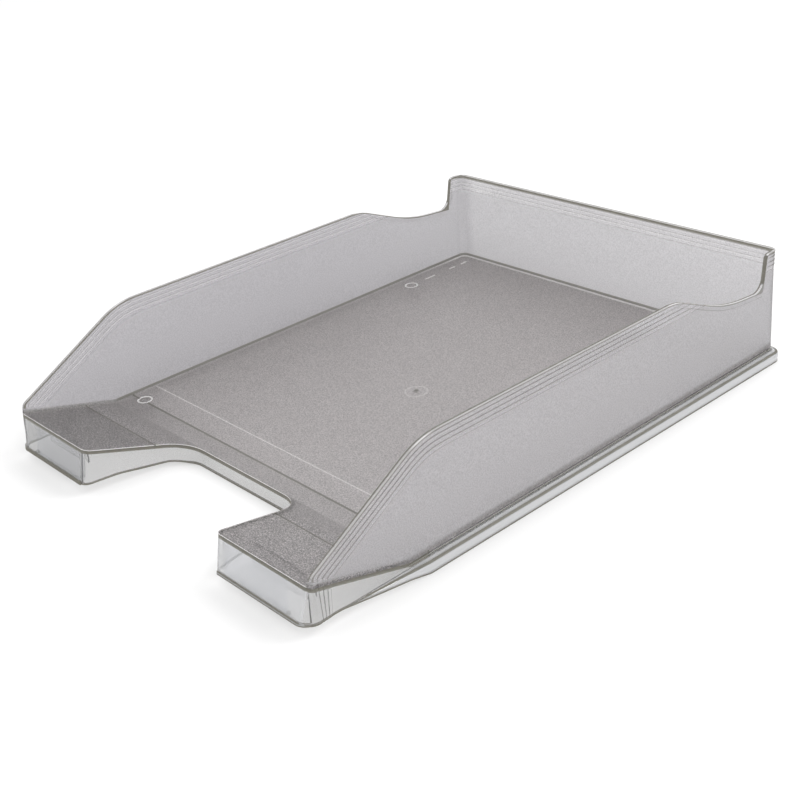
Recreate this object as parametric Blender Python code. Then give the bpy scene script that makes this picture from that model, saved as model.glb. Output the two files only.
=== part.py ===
"""A stackable letter tray for A4 and C4 paper: one clear moulding, two label inserts, four foot studs.

Metres, +Z up. The origin is the middle of the footprint, on the surface that the tray stands on.
+X points to the right-hand wall and +Y to the back wall, so the loading front is at -Y.
"""

import math

import bmesh
import bpy
from mathutils import Vector

MM = 0.001

# Driving dimensions
WIDTH = 255 * MM
DEPTH = 345 * MM
HEIGHT = 66 * MM
WALL = 1.8 * MM
GAP = 0.3 * MM

SIDE_OUTER = 123 * MM  # outer face of each side wall, from the middle
BACK_OUTER = 170.3 * MM  # outer face of the back wall
BACK_CORNER = 5 * MM
FLOOR_TOP = 9.2 * MM
SKIRT_FOOT = 0.5 * MM  # the skirt ends just above the studs' soles
LEDGE_TOP = 6.6 * MM
SKIRT_CORNER = 6.8 * MM
SKIRT_FADE = (-104 * MM, -153 * MM)  # the skirt rises and fades into the lug between these depths

LUG_TOP = 24.8 * MM
LUG_FOOT = 5.7 * MM
LUG_FRONT_TOP = -167.5 * MM
LUG_FRONT_FOOT = -171.5 * MM
LUG_CORNER = 5 * MM
LUG_INNER_CORNER = 4.5 * MM
RAMP_START = -112.5 * MM
LIP_PROUD = 1 * MM
LIP_HEIGHT = 1.8 * MM

NOTCH_HALF_FRONT = 56.9 * MM  # half the hand cut-out's width at the front, and at its back
NOTCH_HALF_BACK = 47.6 * MM
NOTCH_BACK = -115 * MM
NOTCH_CORNER = 16 * MM

RIM_LINE = (  # side wall's top edge, front to back: depth, height, bend radius
    (LUG_FRONT_TOP + 0.2 * MM, LUG_TOP, 0.5 * MM),
    (-165.6 * MM, 29.1 * MM, 5 * MM),
    (-99.8 * MM, HEIGHT, 45 * MM),
    (79.5 * MM, HEIGHT, 40 * MM),
    (122 * MM, 48.4 * MM, 110 * MM),
    (156 * MM, 45.6 * MM, 8 * MM),
    (159.5 * MM, HEIGHT, 3 * MM),
)

CROSS_RIB_Y = -159 * MM
CROSS_RIB_FOOT = 9 * MM
CROSS_RIB_REACH = (72 * MM, 109 * MM)  # from the middle
RIB = 1.4 * MM

LABEL_INNER = 62.5 * MM  # label pocket between these distances from the middle
LABEL_OUTER = 109 * MM
GUIDE = 0.7 * MM
GUIDE_RETURN = 1.6 * MM
GUIDE_FOOT = 8 * MM
LABEL_THICK = 0.4 * MM
LABEL_TOP = 21 * MM
LABEL_FOOT = 6 * MM
GRIP_THICK = 0.6 * MM  # a narrow flange along the insert's foot, to pull it by
GRIP_DEEP = 1.2 * MM

STUD_SPOTS = {
    "foot_front_left": (-110.3 * MM, -100.3 * MM),
    "foot_front_right": (110.3 * MM, -100.3 * MM),
    "foot_rear_left": (-110.3 * MM, 107.5 * MM),
    "foot_rear_right": (110.3 * MM, 107.5 * MM),
}
BOSS_R = 4.3 * MM
STUD_R = 2.6 * MM
SOLE_R = 4.3 * MM
SOLE_THICK = 0.9 * MM
GATE_SPOT = (5 * MM, 3 * MM)
GATE_R = 2 * MM

ARC_STEPS = 6
ROUND_STEPS = 24
FAR = 200 * MM  # past every face, for cutters

PANE_RAKE = (LUG_FRONT_TOP - LUG_FRONT_FOOT) / (LUG_TOP - LUG_FOOT)
RAMP_RISE = (LUG_TOP - FLOOR_TOP) / (RAMP_START - LUG_FRONT_TOP)
RAMP_WALL = WALL * math.hypot(1, RAMP_RISE)


def clear_scene():
    for item in list(bpy.data.objects):
        bpy.data.objects.remove(item)


def material(name, colour, roughness, alpha):
    made = bpy.data.materials.new(name)
    made.use_nodes = True
    shader = made.node_tree.nodes["Principled BSDF"]
    shader.inputs["Base Color"].default_value = (*colour, 1)
    shader.inputs["Roughness"].default_value = roughness
    shader.inputs["Metallic"].default_value = 0
    shader.inputs["Alpha"].default_value = alpha
    made.diffuse_color = (*colour, alpha)
    return made


def rounded(corners, steps=ARC_STEPS):
    """The outline through corners (u, v, radius), with each corner turned into an arc."""
    outline = []
    for i, (u, v, radius) in enumerate(corners):
        corner = Vector((u, v))
        before = (Vector(corners[i - 1][:2]) - corner).normalized()
        after = (Vector(corners[(i + 1) % len(corners)][:2]) - corner).normalized()
        half = before.angle(after) / 2
        if radius <= 0:
            outline.append(corner)
            continue
        reach = radius / math.tan(half)
        start = corner + before * reach
        centre = corner + (before + after).normalized() * (radius / math.sin(half))
        turn = math.pi - 2 * half
        side = 1 if before.cross(after) < 0 else -1
        arm = start - centre
        for step in range(steps + 1):
            angle = side * turn * step / steps
            c, s = math.cos(angle), math.sin(angle)
            outline.append(centre + Vector((arm.x * c - arm.y * s, arm.x * s + arm.y * c)))
    return outline


def inset(corners, distance):
    """The same corners moved inwards by distance. The corners run anticlockwise."""
    moved = []
    for i, (u, v, radius) in enumerate(corners):
        corner = Vector((u, v))
        along_in = (corner - Vector(corners[i - 1][:2])).normalized()
        along_out = (Vector(corners[(i + 1) % len(corners)][:2]) - corner).normalized()
        normal_in = Vector((-along_in.y, along_in.x))
        normal_out = Vector((-along_out.y, along_out.x))
        shift = (normal_in + normal_out) * (distance / (1 + normal_in.dot(normal_out)))
        convex = along_in.cross(along_out) > 0
        new_radius = radius - distance if convex else radius + distance
        moved.append((corner.x + shift.x, corner.y + shift.y, max(new_radius, 0)))
    return moved


def object_from(name, bm, helper):
    bmesh.ops.recalc_face_normals(bm, faces=bm.faces)
    mesh = bpy.data.meshes.new(name)
    bm.to_mesh(mesh)
    bm.free()
    made = bpy.data.objects.new(name, mesh)
    bpy.context.scene.collection.objects.link(made)
    if helper:
        made.hide_render = True
        made.display_type = "WIRE"
    return made


def pane_shift(z):
    """How far the raked front leans back at height z, from where it stands at the lug's foot."""
    return (z - LUG_FOOT) * PANE_RAKE


def upright(name, outline, low, high, rake_from=None, helper=True):
    """A prism standing on a plan outline. Points in front of rake_from lean back with the front."""
    bm = bmesh.new()

    def ring(z):
        lean = pane_shift(z)
        points = ((p.x, p.y + (lean if rake_from is not None and p.y < rake_from else 0), z) for p in outline)
        return [bm.verts.new(p) for p in points]

    bottom, top = ring(low), ring(high)
    bm.faces.new(bottom)
    bm.faces.new(top)
    for i in range(len(outline)):
        j = (i + 1) % len(outline)
        bm.faces.new((bottom[i], bottom[j], top[j]))
        bm.faces.new((bottom[i], top[j], top[i]))
    return object_from(name, bm, helper)


def sideways(name, outline, left, right, helper=True):
    """A prism whose (depth, height) outline runs from x = left to x = right."""
    bm = bmesh.new()
    near = [bm.verts.new((left, p[0], p[1])) for p in outline]
    far = [bm.verts.new((right, p[0], p[1])) for p in outline]
    bm.faces.new(near)
    bm.faces.new(far)
    for i in range(len(outline)):
        j = (i + 1) % len(outline)
        bm.faces.new((near[i], near[j], far[j], far[i]))
    return object_from(name, bm, helper)


def raked_bar(name, left, right, behind, low, high, helper=True):
    """A bar that follows the raked front pane; behind is its (nearest, farthest) depth behind the pane."""
    bm = bmesh.new()
    rings = []
    for z in (low, high):
        y = LUG_FRONT_FOOT + pane_shift(z)
        corners = ((left, behind[0]), (right, behind[0]), (right, behind[1]), (left, behind[1]))
        rings.append([bm.verts.new((x, y + d, z)) for x, d in corners])
    bm.faces.new(rings[0])
    bm.faces.new(rings[1])
    for i in range(4):
        j = (i + 1) % 4
        bm.faces.new((rings[0][i], rings[0][j], rings[1][j], rings[1][i]))
    return object_from(name, bm, helper)


def turned(name, spot, profile, helper=True):
    """A round piece about a vertical axis; profile is (radius, height) from its top down its outer side."""
    bm = bmesh.new()
    rings = []
    for radius, z in profile:
        angles = (2 * math.pi * k / ROUND_STEPS for k in range(ROUND_STEPS))
        rings.append([bm.verts.new((radius * math.cos(a), radius * math.sin(a), z)) for a in angles])
    bm.faces.new(rings[0])
    bm.faces.new(rings[-1])
    for upper, lower in zip(rings, rings[1:]):
        for i in range(ROUND_STEPS):
            j = (i + 1) % ROUND_STEPS
            bm.faces.new((upper[i], upper[j], lower[j], lower[i]))
    made = object_from(name, bm, helper)
    made.location = (*spot, 0)
    return made


def combine(target, other, operation):
    step = target.modifiers.new(f"{operation.lower()}_{other.name}", "BOOLEAN")
    step.object = other
    step.operation = operation
    step.solver = "EXACT"


def body_corners():
    """Plan of the walls at the lugs' foot, anticlockwise, with the hand cut-out at the front."""
    return [
        (SIDE_OUTER, BACK_OUTER, BACK_CORNER),
        (-SIDE_OUTER, BACK_OUTER, BACK_CORNER),
        (-SIDE_OUTER, LUG_FRONT_FOOT, LUG_CORNER),
        (-NOTCH_HALF_FRONT, LUG_FRONT_FOOT, LUG_INNER_CORNER),
        (-NOTCH_HALF_BACK, NOTCH_BACK, NOTCH_CORNER),
        (NOTCH_HALF_BACK, NOTCH_BACK, NOTCH_CORNER),
        (NOTCH_HALF_FRONT, LUG_FRONT_FOOT, LUG_INNER_CORNER),
        (SIDE_OUTER, LUG_FRONT_FOOT, LUG_CORNER),
    ]


def skirt_corners():
    """Plan of the U-shaped skirt: it stands outside the walls and narrows into the lugs."""
    outer, back, hidden = WIDTH / 2, DEPTH / 2, SIDE_OUTER - WALL / 2
    fade_start, fade_end = SKIRT_FADE
    return [
        (outer, back, SKIRT_CORNER),
        (-outer, back, SKIRT_CORNER),
        (-outer, fade_start, 30 * MM),
        (-SIDE_OUTER - 0.4 * MM, fade_end, 0),
        (-hidden, fade_end, 0),
        (-hidden, BACK_OUTER - WALL / 2, 0),
        (hidden, BACK_OUTER - WALL / 2, 0),
        (hidden, fade_end, 0),
        (SIDE_OUTER + 0.4 * MM, fade_end, 0),
        (outer, fade_start, 30 * MM),
    ]


def ledge_hollow():
    """The hollow under the ledge, between the walls' foot and the skirt."""
    outer, back = WIDTH / 2 - WALL, DEPTH / 2 - WALL
    fade_start, fade_end = SKIRT_FADE
    reach = SIDE_OUTER - WALL - 1 * MM
    corners = [
        (outer, back, SKIRT_CORNER - WALL),
        (-outer, back, SKIRT_CORNER - WALL),
        (-outer, fade_start, 30 * MM),
        (-SIDE_OUTER + WALL, fade_end - 2 * MM, 0),
        (-reach, fade_end - 2 * MM, 0),
        (-reach, BACK_OUTER - WALL - 1 * MM, 0),
        (reach, BACK_OUTER - WALL - 1 * MM, 0),
        (reach, fade_end - 2 * MM, 0),
        (SIDE_OUTER - WALL, fade_end - 2 * MM, 0),
        (outer, fade_start, 30 * MM),
    ]
    return upright("ledge_hollow", rounded(corners), -10 * MM, LEDGE_TOP - WALL)


def rim_cutter():
    """Everything above the side walls' top edge and above the lugs."""
    open_line = [(-FAR, LUG_TOP, 0), *RIM_LINE, (FAR, HEIGHT, 0), (FAR, FAR, 0), (-FAR, FAR, 0)]
    return sideways("rim_cutter", rounded(open_line, 10), -FAR, FAR)


def paper_space():
    """The open space above the floor and the front ramps, between the walls."""
    ramp_far = LUG_TOP + (LUG_FRONT_TOP + FAR) * RAMP_RISE
    side = [(RAMP_START, FLOOR_TOP), (FAR, FLOOR_TOP), (FAR, FAR), (-FAR, FAR), (-FAR, ramp_far)]
    space = sideways("paper_space", side, -FAR, FAR)
    inner, back = SIDE_OUTER - WALL, BACK_OUTER - WALL
    plan = [
        (inner, back, BACK_CORNER - WALL),
        (-inner, back, BACK_CORNER - WALL),
        (-inner, -FAR + 1 * MM, 0),
        (inner, -FAR + 1 * MM, 0),
    ]
    combine(space, upright("paper_plan", rounded(plan), -FAR / 2, FAR / 2), "INTERSECT")
    return space


def underside():
    """The hollow below the floor and inside the lugs, open at the bottom."""
    low_start = RAMP_START + (RAMP_WALL - WALL) / RAMP_RISE
    ramp_far = FLOOR_TOP - WALL + (low_start + FAR) * RAMP_RISE
    side = [
        (low_start, FLOOR_TOP - WALL),
        (-FAR, ramp_far),
        (-FAR, -FAR),
        (FAR, -FAR),
        (FAR, FLOOR_TOP - WALL),
    ]
    hollow = sideways("underside", side, -FAR, FAR)
    plan = rounded(inset(body_corners(), WALL))
    combine(hollow, upright("underside_plan", plan, -FAR / 4, FAR / 4, RAMP_START - 20 * MM), "INTERSECT")
    return hollow


def foot_cutter(name, start, left, right):
    """Lifts the bottom edge from the skirt's foot at depth start to the lugs' foot further forward."""
    end = SKIRT_FADE[1]
    line = [
        (start, SKIRT_FOOT - 0.01 * MM),
        (start + (end - start) * 0.3, LUG_FOOT * 0.48),
        (end, LUG_FOOT),
        (-FAR, LUG_FOOT),
        (-FAR, -FAR),
        (start, -FAR),
    ]
    return sideways(name, line, left, right)


def ramp_top(y):
    return FLOOR_TOP + (RAMP_START - y) * RAMP_RISE


def lug_details(body, side):
    """Cross rib, label guides and lip of the lug on one side; side is -1 or 1."""
    word = "left" if side < 0 else "right"

    def span(a, b):
        return sorted((side * a, side * b))

    x0, x1 = span(*CROSS_RIB_REACH)
    rib_top = ramp_top(CROSS_RIB_Y) - WALL / 2
    half = RIB / 2
    rib = [
        (CROSS_RIB_Y - half, CROSS_RIB_FOOT),
        (CROSS_RIB_Y + half, CROSS_RIB_FOOT),
        (CROSS_RIB_Y + half, rib_top),
        (CROSS_RIB_Y - half, rib_top),
    ]
    combine(body, sideways(f"cross_rib_{word}", rib, x0, x1), "UNION")

    guide_top = LUG_TOP - RAMP_WALL - 0.5 * MM
    channel = WALL + LABEL_THICK + 2 * GAP
    for place, edge, inward in (("inner", LABEL_INNER, 1), ("outer", LABEL_OUTER, -1)):
        leg = span(edge - inward * GUIDE / 2, edge + inward * GUIDE / 2)
        leg_bar = raked_bar(
            f"guide_leg_{place}_{word}", *leg, (WALL / 2, channel + GUIDE), GUIDE_FOOT, guide_top
        )
        combine(body, leg_bar, "UNION")
        back = span(edge, edge + inward * GUIDE_RETURN)
        back_bar = raked_bar(
            f"guide_back_{place}_{word}", *back, (channel, channel + GUIDE), GUIDE_FOOT, guide_top - 1 * MM
        )
        combine(body, back_bar, "UNION")

    lip = span(NOTCH_HALF_FRONT + 5.6 * MM, SIDE_OUTER - LUG_CORNER - 1 * MM)
    lip_bar = raked_bar(
        f"lip_{word}", *lip, (-LIP_PROUD, WALL / 2), LUG_FOOT + 0.1 * MM, LUG_FOOT + LIP_HEIGHT
    )
    combine(body, lip_bar, "UNION")


def stud_boss(body, name, spot):
    """A tube under the floor that takes a foot stud from below."""
    top = FLOOR_TOP - WALL / 2
    foot = SOLE_THICK + GAP
    combine(body, turned(f"boss_{name}", spot, [(BOSS_R, top), (BOSS_R, foot)]), "UNION")
    bore = [(STUD_R + GAP, FLOOR_TOP - WALL), (STUD_R + GAP, foot - 2 * MM)]
    combine(body, turned(f"bore_{name}", spot, bore), "DIFFERENCE")


def tray_body(finish):
    """The one-piece moulding."""
    outline = rounded(body_corners())
    body = upright("tray_body", outline, SKIRT_FOOT, HEIGHT + 5 * MM, RAMP_START - 20 * MM, helper=False)
    skirt = upright("skirt", rounded(skirt_corners()), SKIRT_FOOT, LEDGE_TOP)
    combine(body, skirt, "UNION")
    combine(body, rim_cutter(), "DIFFERENCE")
    combine(body, paper_space(), "DIFFERENCE")
    combine(body, underside(), "DIFFERENCE")
    combine(body, ledge_hollow(), "DIFFERENCE")
    side_reach = SIDE_OUTER - 30 * MM
    combine(body, foot_cutter("foot_cutter_left", SKIRT_FADE[0], -FAR, -side_reach), "DIFFERENCE")
    combine(body, foot_cutter("foot_cutter_right", SKIRT_FADE[0], side_reach, FAR), "DIFFERENCE")
    middle = foot_cutter("foot_cutter_middle", NOTCH_BACK - 2 * MM, -side_reach - GAP, side_reach + GAP)
    combine(body, middle, "DIFFERENCE")
    lug_details(body, -1)
    lug_details(body, 1)
    for name, spot in STUD_SPOTS.items():
        stud_boss(body, name, spot)
    gate = [(GATE_R, FLOOR_TOP - WALL / 2), (GATE_R * 0.7, FLOOR_TOP - WALL - 0.8 * MM)]
    combine(body, turned("gate", GATE_SPOT, gate), "UNION")
    body.data.materials.append(finish)
    body.data.shade_smooth()
    body.data.set_sharp_from_angle(angle=math.radians(35))


def label_insert(side, finish):
    """A clear strip that slides up into the guides behind a lug's front pane."""
    word = "left" if side < 0 else "right"
    inner = LABEL_INNER + GUIDE / 2 + GAP
    outer = LABEL_OUTER - GUIDE / 2 - GAP
    x0, x1 = sorted((side * inner, side * outer))
    near = WALL + GAP
    far = near + LABEL_THICK
    strip = raked_bar(f"label_insert_{word}", x0, x1, (near, far), LABEL_FOOT, LABEL_TOP, helper=False)
    grip = raked_bar(
        f"label_grip_{word}", x0, x1, (near, far + GRIP_DEEP), LABEL_FOOT, LABEL_FOOT + GRIP_THICK
    )
    combine(strip, grip, "UNION")
    strip.data.materials.append(finish)


def foot_stud(name, spot, finish):
    """A soft stud pushed into a boss, with a round sole that the tray stands on."""
    top = FLOOR_TOP - WALL - GAP
    profile = [
        (STUD_R - 0.4 * MM, top),
        (STUD_R, top - 0.8 * MM),
        (STUD_R, SOLE_THICK),
        (SOLE_R, SOLE_THICK),
        (SOLE_R, 0.25 * MM),
        (SOLE_R - 0.25 * MM, 0),
    ]
    stud = turned(name, spot, profile, helper=False)
    stud.data.materials.append(finish)
    stud.data.shade_smooth()
    stud.data.set_sharp_from_angle(angle=math.radians(35))


def main():
    clear_scene()
    tray_body(material("smoke_polystyrene", (0.42, 0.41, 0.42), 0.35, 0.55))
    clear_strip = material("clear_strip", (0.82, 0.83, 0.86), 0.08, 0.3)
    label_insert(-1, clear_strip)
    label_insert(1, clear_strip)
    soft = material("soft_stud", (0.55, 0.54, 0.55), 0.6, 0.9)
    for name, spot in STUD_SPOTS.items():
        foot_stud(name, spot, soft)


main()
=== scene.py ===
"""Studio picture of a translucent letter tray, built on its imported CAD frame."""

import math

import bmesh
import bpy
from mathutils import Matrix, Vector
from mathutils.geometry import tessellate_polygon

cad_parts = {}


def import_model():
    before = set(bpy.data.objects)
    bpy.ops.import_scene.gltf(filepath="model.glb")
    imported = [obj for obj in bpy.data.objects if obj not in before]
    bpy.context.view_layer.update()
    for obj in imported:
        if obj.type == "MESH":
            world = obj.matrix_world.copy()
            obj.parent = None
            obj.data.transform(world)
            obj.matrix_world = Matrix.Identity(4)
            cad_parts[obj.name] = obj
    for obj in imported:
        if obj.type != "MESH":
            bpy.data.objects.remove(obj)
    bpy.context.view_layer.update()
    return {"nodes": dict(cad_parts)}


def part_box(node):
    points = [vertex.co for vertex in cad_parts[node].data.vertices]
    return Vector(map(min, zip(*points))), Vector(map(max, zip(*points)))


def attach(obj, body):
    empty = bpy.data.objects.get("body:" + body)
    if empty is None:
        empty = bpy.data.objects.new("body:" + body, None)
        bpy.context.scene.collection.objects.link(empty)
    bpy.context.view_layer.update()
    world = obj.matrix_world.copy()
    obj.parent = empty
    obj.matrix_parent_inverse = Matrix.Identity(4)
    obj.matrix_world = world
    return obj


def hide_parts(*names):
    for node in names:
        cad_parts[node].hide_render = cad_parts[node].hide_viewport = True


MM = 0.001
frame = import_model()

# Sizes in millimetres, in the part's own frame. The outside comes from the CAD body.
BODY_LOW, BODY_HIGH = (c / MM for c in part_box("tray_body"))
HALF_WIDTH = BODY_HIGH.x
BACK = BODY_HIGH.y
HEIGHT = BODY_HIGH.z
SKIRT_FOOT = BODY_LOW.z
WALL = 1.8
SIDE_FOOT = HALF_WIDTH - 3.9  # outer face of a side wall at its foot, and at the rim
SIDE_RIM = HALF_WIDTH - 5.1
BACK_FOOT = BACK - 2.6
BACK_RIM = BACK - 2.2
CORNER = 5.0  # radius in plan, of the walls and of the skirt
SKIRT_CORNER = 6.8
FLOOR_TOP = 9.2
LEDGE_TOP = 6.6
LUG_TOP = 24.8
LUG_FOOT = 5.7
FRONT_TOP = -167.5
FRONT_FOOT = -171.5
RAKE = (FRONT_TOP - FRONT_FOOT) / (LUG_TOP - LUG_FOOT)  # how far a front pane leans back, per mm of height
RAMP_START = -112.5
RAMP_RISE = (LUG_TOP - FLOOR_TOP) / (RAMP_START - FRONT_TOP)
RAMP_CREASE = -131.3
FADE = (-104.0, -153.0)  # where the skirt starts to fade into a lug, and ends
CUT_FADE = -117.6  # where the bottom edge starts to climb beside the cut-out
EDGE_SPLIT = 95.0  # the two climbing edges meet this far from the middle
FOOT_KNEE = (0.22, 0.4)  # where it bends: share of the way to the lug, and of the lug foot's height
RIB_SIDES = (72, 109)
LABEL = 0.4  # thickness of a label strip
LABEL_SIDES = (62.5, 109.0)
NOTCH_LINE = [(79.5, HEIGHT, 40), (122, 48.4, 110), (156, 45.6, 8)]  # the dip in the side walls' rim
NOTCH_END = 159.5
BAND_START = (-165.6, 29.1)  # where the rim line starts to climb, as depth and height
BAND_CREST = -99.8  # where it becomes level
BAND_STEP = 2.5
BAND_DEEP = 10.0
BAND_FOOT = -164.4  # depth of the bands' front edge at the lug's foot
BAND_LOW = LUG_FOOT - 0.2
BAND_FOOT_SPREAD = 0.68  # the bands narrow by this factor there
GATE_SPOT = (5.0, 3.0)
GATE_RING = 6.2
BOSS_RING = 3.9
BOSS_SPOTS = ((110.3, -100.3), (110.3, 107.5))
DASH_LINE = 110.3
DASHES = ((120, 128.7), (142.7, 147.7), (153.7, 158.8))
CREASE = -101.5
LIGHT_LINE = -86.2
FAR = 400.0

RIM = [  # depth, height, bend radius of the side wall's top edge, front to back
    (FRONT_TOP + 0.2, LUG_TOP, 0.4),
    (*BAND_START, 5),
    (BAND_CREST, HEIGHT, 45),
    *NOTCH_LINE,
    (NOTCH_END, HEIGHT, 3),
]
BANDS = [  # distance below the rim line, and how far the surface stands out there
    (0.0, 0.62),
    (2.45, 0.2),
    (2.5, 0.5),
    (4.95, 0.16),
    (5.0, 0.44),
    (7.45, 0.12),
    (7.5, 0.36),
    (9.95, 0.02),
]


# ---------------------------------------------------------------- outlines


def rounded(corners, steps=6):
    """The closed outline through corners (u, v, radius), with an arc of the same number of points at each."""
    outline = []
    for i, (u, v, radius) in enumerate(corners):
        corner = Vector((u, v))
        before = (Vector(corners[i - 1][:2]) - corner).normalized()
        after = (Vector(corners[(i + 1) % len(corners)][:2]) - corner).normalized()
        outline += arc(corner, before, after, radius, steps)
    return outline


def rounded_path(corners, steps=6):
    """As rounded(), for a path with two open ends."""
    points = [Vector(c[:2]) for c in corners]
    path = [points[0]]
    for i in range(1, len(corners) - 1):
        before = (points[i - 1] - points[i]).normalized()
        after = (points[i + 1] - points[i]).normalized()
        path += arc(points[i], before, after, corners[i][2], steps)
    return path + [points[-1]]


def arc(corner, before, after, radius, steps):
    """Points on the arc that rounds a corner between two directions that lead away from it."""
    half = before.angle(after) / 2
    radius = max(radius, 0.02)
    start = corner + before * (radius / math.tan(half))
    centre = corner + (before + after).normalized() * (radius / math.sin(half))
    turn = (math.pi - 2 * half) * (1 if before.cross(after) < 0 else -1)
    arm = start - centre
    made = []
    for step in range(steps + 1):
        c, s = math.cos(turn * step / steps), math.sin(turn * step / steps)
        made.append(centre + Vector((arm.x * c - arm.y * s, arm.x * s + arm.y * c)))
    return made


def shifted(corners, distance, closed=True):
    """The corners moved to their left by distance: inwards, where the outline runs anticlockwise."""
    moved = []
    last = len(corners) - 1
    for i, (u, v, radius) in enumerate(corners):
        corner = Vector((u, v))
        here_in = corner - Vector(corners[i - 1][:2])
        here_out = Vector(corners[(i + 1) % len(corners)][:2]) - corner
        if not closed and i == 0:
            here_in = here_out
        if not closed and i == last:
            here_out = here_in
        here_in, here_out = here_in.normalized(), here_out.normalized()
        normal_in = Vector((-here_in.y, here_in.x))
        normal_out = Vector((-here_out.y, here_out.x))
        move = (normal_in + normal_out) * (distance / (1 + normal_in.dot(normal_out)))
        turn = here_in.cross(here_out)
        moved.append((u + move.x, v + move.y, radius - distance if turn > 0 else radius + distance))
    return moved


# ---------------------------------------------------------------- meshes


def finish_mesh(name, bm):
    """An object from a closed bmesh, with its faces turned outwards."""
    bmesh.ops.recalc_face_normals(bm, faces=bm.faces)
    if bm.calc_volume(signed=True) < 0:
        bmesh.ops.reverse_faces(bm, faces=bm.faces)
    mesh = bpy.data.meshes.new(name)
    bm.to_mesh(mesh)
    bm.free()
    made = bpy.data.objects.new(name, mesh)
    bpy.context.scene.collection.objects.link(made)
    return made


def loft(name, rings):
    """A closed solid through rings of points, each ring with the same number of points, capped at both ends."""
    bm = bmesh.new()
    made = [[bm.verts.new(Vector(p) * MM) for p in ring] for ring in rings]
    for lower, upper in zip(made, made[1:]):
        for i in range(len(lower)):
            j = (i + 1) % len(lower)
            bm.faces.new((lower[i], lower[j], upper[j]))
            bm.faces.new((lower[i], upper[j], upper[i]))
    for ring in (made[0], made[-1]):
        cap(bm, ring)
    return finish_mesh(name, bm)


def cap(bm, ring):
    """Fills a flat ring, which may be concave, with triangles."""
    for a, b, c in tessellate_polygon([[v.co / MM for v in ring]]):
        bm.faces.new((ring[a], ring[b], ring[c]))


def sideways(name, outline, left, right):
    """A prism whose (depth, height) outline runs from x = left to x = right."""
    return loft(name, [[(x, p[0], p[1]) for p in outline] for x in (left, right)])


def block(name, low, high):
    (x0, y0, z0), (x1, y1, z1) = low, high
    return loft(name, [[(x0, y0, z), (x1, y0, z), (x1, y1, z), (x0, y1, z)] for z in (z0, z1)])


def raked(name, left, right, behind, low, high):
    """A bar that follows the raked front pane, between two distances behind its outer face."""
    rings = []
    for z in (low, high):
        near, far = (front_at(z) + distance for distance in behind)
        rings.append([(left, near, z), (right, near, z), (right, far, z), (left, far, z)])
    return loft(name, rings)


def turned(name, spot, profile, steps=48):
    """A round solid about a vertical axis through spot; profile is (radius, height) pairs from end to end."""
    rings = []
    for radius, z in profile:
        angles = [2 * math.pi * k / steps for k in range(steps)]
        rings.append([(spot[0] + radius * math.cos(a), spot[1] + radius * math.sin(a), z) for a in angles])
    return loft(name, rings)


def combine(target, other, operation):
    """Applies one Boolean to target and removes the other solid."""
    step = target.modifiers.new("step", "BOOLEAN")
    step.object = other
    step.operation = operation
    step.solver = "MANIFOLD"
    graph = bpy.context.evaluated_depsgraph_get()
    mesh = bpy.data.meshes.new_from_object(target.evaluated_get(graph))
    target.modifiers.clear()
    old = target.data
    target.data = mesh
    bpy.data.meshes.remove(old)
    bpy.data.objects.remove(other)
    return target


def add(target, other):
    return combine(target, other, "UNION")


def cut(target, other):
    return combine(target, other, "DIFFERENCE")


# ---------------------------------------------------------------- tray body


def side_at(z):
    return SIDE_FOOT + (SIDE_RIM - SIDE_FOOT) * z / HEIGHT


def back_at(z):
    return BACK_FOOT + (BACK_RIM - BACK_FOOT) * z / HEIGHT


def front_at(z):
    return FRONT_FOOT + (min(z, LUG_TOP) - LUG_FOOT) * RAKE


def ramp_at(y):
    return FLOOR_TOP + max(0.0, RAMP_START - y) * RAMP_RISE


def body_corners(z, wider=0.0):
    """Plan of the walls' outer faces at height z, anticlockwise, with the hand cut-out."""
    side, back, front = side_at(z) + wider, back_at(z), front_at(z)
    notch_back = -115.6 + 0.27 * min(z, 10)
    corner = 2.6 + 4.6 * min(1.0, max(0.0, (LUG_TOP - z) / (LUG_TOP - LUG_FOOT)))
    return [
        (side, back, CORNER),
        (-side, back, CORNER),
        (-side, front, corner),
        (-56.9, front, 4.5),
        (-47.8, notch_back, 16),
        (47.8, notch_back, 16),
        (56.9, front, 4.5),
        (side, front, corner),
    ]


def plan_ring(z, inset=0.0, wider=0.0):
    return [(p.x, p.y, z) for p in rounded(shifted(body_corners(z, wider), inset), 8)]


def walls_block(wider=0.0, low=0.5, high=80.0):
    heights = [low, LUG_FOOT, 10.0, 15.0, 20.0, LUG_TOP, HEIGHT, high]
    return loft("walls", [plan_ring(z, 0.0, wider) for z in heights])


def flange_path(outset, back_outset, z, radius):
    """U-shaped path at height z, outset from the walls' foot, that fades into the lugs."""
    outer, back = side_at(0) + outset, back_at(0) + back_outset
    start, end = FADE
    join = side_at(0) - 0.2
    bend = 30 if outset > 0 else 0
    right = [(join, end, 0), (outer, start, bend), (outer, back, radius)]
    corners = right + [(-x, y, r) for x, y, r in reversed(right)]
    return [(p.x, p.y, z) for p in rounded_path(corners, 8)]


def inner_path(inset, z, radius, past=0.0):
    """The matching path inside the walls' foot."""
    side, back = side_at(0) - inset, back_at(0) - inset
    start, end = FADE
    right = [(side, end - past, 0), (side, start, 0), (side, back, radius)]
    corners = right + [(-x, y, r) for x, y, r in reversed(right)]
    return [(p.x, p.y, z) for p in rounded_path(corners, 8)]


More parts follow.
